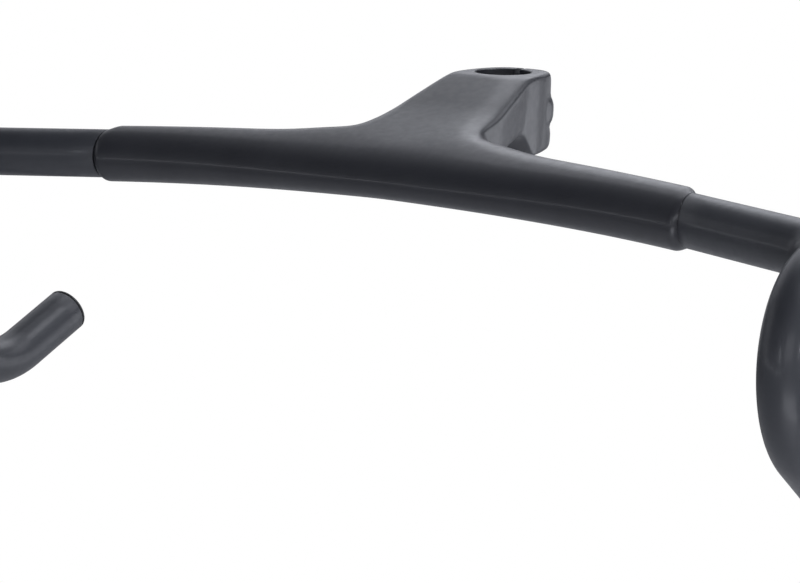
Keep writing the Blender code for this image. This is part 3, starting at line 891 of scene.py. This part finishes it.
def make_plug(name, end, axis, materials):
    """The expanding plug in one bar end: cap, rubber sleeve, cone nut and screw."""
    matrix = axis_matrix(end, axis)
    bore = SCREW_R + GAP
    recess = SCREW_HEAD_R + GAP
    lip = 0.0004
    cap = rounded_profile([
        (recess, FLANGE_T - lip), (recess + 0.0006, FLANGE_T), (TUBE_R - 0.0030, FLANGE_T),
        (TUBE_R - 0.0010, FLANGE_T - 0.0004), (TUBE_R, FLANGE_T - 0.0013), (TUBE_R, GAP),
        (PLUG_R, GAP), (PLUG_R, -PLUG_L), (bore, -PLUG_L), (bore, PLUG_SEAT), (recess, PLUG_SEAT)],
        0.0006, steps=5)

    def ribbed(radius, height, angle):
        if height < -0.0006 and radius > PLUG_R - 0.0003:
            return radius - 0.00025 * (0.5 + 0.5 * math.cos(12 * angle)) ** 3
        return radius

    pieces = [("plug_cap", "plug_end_cap", "plug", "plug_plastic", "plastic",
               turned("cap", cap, matrix, 96, shape=ribbed))]

    def cone_radius(s):
        t = (s - CONE_S[0]) / (CONE_S[1] - CONE_S[0])
        return CONE_R[0] + (CONE_R[1] - CONE_R[0]) * t

    clear = GAP * 1.6
    front, back = SLEEVE_S
    ribs = []
    for k in range(RIB_COUNT):
        top, low, following = (front + (back - front) * (k + share) / RIB_COUNT for share in (0, 0.72, 1))
        ribs += [(PLUG_R, top), (PLUG_R, low), (PLUG_R - RIB_H, low - 0.0002),
                 (PLUG_R - RIB_H, following + 0.0002)]
    sleeve = rounded_profile([(bore, front)] + ribs[:-1] + [
        (PLUG_R - RIB_H, back), (cone_radius(back) + clear, back),
        (cone_radius(CONE_S[0]) + clear, CONE_S[0] + clear), (bore, CONE_S[0] + clear)], 0.0003)
    pieces.append(("plug_expander", "plug_rubber_sleeve", "plug", "rubber", "rubber",
                   turned("sleeve", sleeve, matrix, 72)))

    outer = rounded_profile([(CONE_R[0], CONE_S[0]), (CONE_R[1], CONE_S[1] + 0.0006),
                             (CONE_R[1], CONE_S[1])], 0.0004, closed=False)
    pieces.append(("plug_wedge_nut", "plug_cone_nut", "nut", "brass", "brass",
                   threaded_ring("cone", outer, matrix, SCREW_R + 0.0002, 72)))

    head = PLUG_SEAT + GAP
    top = FLANGE_T - 0.0006
    seated = axis_matrix(end + axis * head, axis)
    pieces.append(("plug_screw", "plug_socket_screw", "screw", "black_steel", "black_steel",
                   socket_screw("screw", seated, top - head, SCREW_HEAD_R, SCREW_R,
                                head - SCREW_TIP, 0.003, 0.0018, knurls=30)))
    for node, piece, body, slot, finish, mesh in pieces:
        obj = add_object(f"{name}_{piece}", mesh, materials[finish])
        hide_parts(f"{name}_{node}")
        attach(obj, f"{name}_{body}")


# ---------------------------------------------------------------- studio

WHITE = 1.0                                     # the floor and surroundings as the camera sees them
FLOOR_Z = -0.62
FLOOR_HALF = 4.0
WORLD_COLOUR = (0.92, 0.94, 1.0, 1.0)
WORLD_STRENGTH = 0.05
SOFTBOX_COLOUR = (0.91, 0.93, 1.0)
BAR = Vector((0.0, -0.11, 0.0))                 # what the softboxes point at
HOOK = Vector((0.23, -0.20, -0.04))             # what the two small lamps point at

# Softboxes: watts, width and height, direction from the bar, distance
SOFTBOXES = {
    "rear_softbox": (2.7, (1.9, 0.55), (-0.52, 0.62, 0.58), 1.4),
    "rear_low_softbox": (2.5, (1.9, 0.35), (-0.52, 0.80, 0.25), 1.4),
    "rear_sweep": (1.2, (1.9, 0.3), (-0.52, 0.84, -0.12), 1.4),
    "rear_near_softbox": (3, (0.7, 0.7), (-0.20, 0.76, 0.56), 1.4),
    "right_high_softbox": (8, (0.8, 0.6), (0.45, 0.15, 0.90), 1.3),
    "ridge_softbox": (3.2, (0.5, 0.9), (0.44, 0.68, 0.55), 1.4),
    "near_top_softbox": (1.0, (0.5, 0.45), (-0.25, 0.45, 0.86), 1.25),
    "right_rear_softbox": (4.5, (1.0, 0.7), (0.52, 0.83, -0.20), 1.4),
    "right_softbox": (4, (0.8, 0.8), (1.0, 0.0, 0.1), 1.4),
    "left_softbox": (1.6, (0.8, 0.8), (-1.0, -0.2, 0.25), 1.4),
    "front_softbox": (3, (0.7, 0.5), (0.52, -0.83, 0.35), 1.5),
    "low_softbox": (4.5, (0.8, 0.5), (0.60, -0.70, -0.45), 1.2),
    "front_strip": (2.2, (2.4, 0.05), (-0.52, -0.85, 0.0), 1.35),
}
# Small lamps for the sheen on the hook: watts, width and height, place from the hook
LAMPS = {
    "right_lamp": (0.8, (0.05, 0.12), (1.03, -0.52, 0.33)),
    "front_lamp": (0.8, (0.06, 0.16), (-0.20, -1.13, 0.33)),
}


def make_camera():
    """The photo's camera, as solved from the steerer bore and the tube of the drop."""
    azimuth, elevation, roll = (math.radians(v) for v in (31.84, 11.80, 0.85))
    distance, focal = 1.00259, 108.34
    aim = Vector((0.07435, -0.21454, -0.02652))
    back = Vector((math.sin(azimuth) * math.cos(elevation), -math.cos(azimuth) * math.cos(elevation),
                   math.sin(elevation)))
    right = Vector((0, 0, 1)).cross(back).normalized()
    up = back.cross(right)
    x = right * math.cos(roll) + up * math.sin(roll)
    y = up * math.cos(roll) - right * math.sin(roll)
    data = bpy.data.cameras.new("camera")
    data.sensor_width = 36
    data.lens = focal
    data.clip_start = 0.01
    camera = bpy.data.objects.new("camera", data)
    bpy.context.scene.collection.objects.link(camera)
    matrix = Matrix((x, y, back)).transposed().to_4x4()
    matrix.translation = aim + back * distance
    camera.matrix_world = matrix
    bpy.context.scene.camera = camera


def area_light(name, energy, size, location, target):
    data = bpy.data.lights.new(name, "AREA")
    data.energy = energy
    data.shape = "RECTANGLE"
    data.size, data.size_y = size
    data.color = SOFTBOX_COLOUR
    light = bpy.data.objects.new(name, data)
    bpy.context.scene.collection.objects.link(light)
    light.location = location
    light.rotation_euler = (target - location).to_track_quat("-Z", "Y").to_euler()


def make_floor():
    """A plain floor, evenly white to the camera however the lamps fall on it."""
    paint = Paint("studio_floor", roughness=0.8)
    paint.colour(paint.noise(3, 2), [(0.3, (0.80, 0.80, 0.80)), (0.7, (0.82, 0.82, 0.82))])
    tree = paint.tree
    glow = tree.nodes.new("ShaderNodeEmission")
    glow.inputs["Color"].default_value = (1, 1, 1, 1)
    glow.inputs["Strength"].default_value = WHITE
    path = tree.nodes.new("ShaderNodeLightPath")
    mix = tree.nodes.new("ShaderNodeMixShader")
    tree.links.new(path.outputs["Is Camera Ray"], mix.inputs["Fac"])
    tree.links.new(paint.shader.outputs["BSDF"], mix.inputs[1])
    tree.links.new(glow.outputs["Emission"], mix.inputs[2])
    tree.links.new(mix.outputs["Shader"], tree.nodes["Material Output"].inputs["Surface"])
    bm = bmesh.new()
    bmesh.ops.create_grid(bm, x_segments=4, y_segments=4, size=FLOOR_HALF)
    bm.transform(Matrix.Translation((0, 0, FLOOR_Z)))
    mesh = bpy.data.meshes.new("studio_floor")
    bm.to_mesh(mesh)
    bm.free()
    add_object("studio_floor", mesh, paint.material)


def make_world():
    """A dim, cool surrounding that is white only to the camera."""
    world = bpy.data.worlds.new("studio")
    bpy.context.scene.world = world
    world.use_nodes = True
    tree = world.node_tree
    background = tree.nodes["Background"]
    background.inputs["Color"].default_value = WORLD_COLOUR
    background.inputs["Strength"].default_value = WORLD_STRENGTH
    seen = tree.nodes.new("ShaderNodeBackground")
    seen.inputs["Color"].default_value = (1, 1, 1, 1)
    seen.inputs["Strength"].default_value = WHITE
    mix = tree.nodes.new("ShaderNodeMixShader")
    path = tree.nodes.new("ShaderNodeLightPath")
    tree.links.new(path.outputs["Is Camera Ray"], mix.inputs["Fac"])
    tree.links.new(background.outputs["Background"], mix.inputs[1])
    tree.links.new(seen.outputs["Background"], mix.inputs[2])
    tree.links.new(mix.outputs["Shader"], tree.nodes["World Output"].inputs["Surface"])


def make_studio():
    make_world()
    make_floor()
    for name, (energy, size, direction, distance) in SOFTBOXES.items():
        area_light(name, energy, size, BAR + Vector(direction).normalized() * distance, BAR)
    for name, (energy, size, offset) in LAMPS.items():
        area_light(name, energy, size, HOOK + Vector(offset), HOOK)
    bpy.context.scene.view_settings.view_transform = "Standard"


# ---------------------------------------------------------------- build

MATERIALS = {
    "matte": matte_composite(),
    "satin": satin_composite(),
    "epoxy": epoxy(),
    "black_steel": black_oxide(),
    "steel": plain_steel(),
    "brass": turned_brass(),
    "plastic": moulded_plastic(),
    "rubber": black_rubber(),
}

make_camera()
make_body(MATERIALS["matte"])
for side_name, side_sign in (("left", 1), ("right", -1)):
    tail_end, tail_axis = make_drop(side_name, side_sign, MATERIALS["satin"])
    make_bond(side_name, side_sign, MATERIALS["epoxy"])
    make_plug(side_name, tail_end, tail_axis, MATERIALS)
make_pinch_bolts(MATERIALS)
make_studio()

bpy.context.view_layer.update()
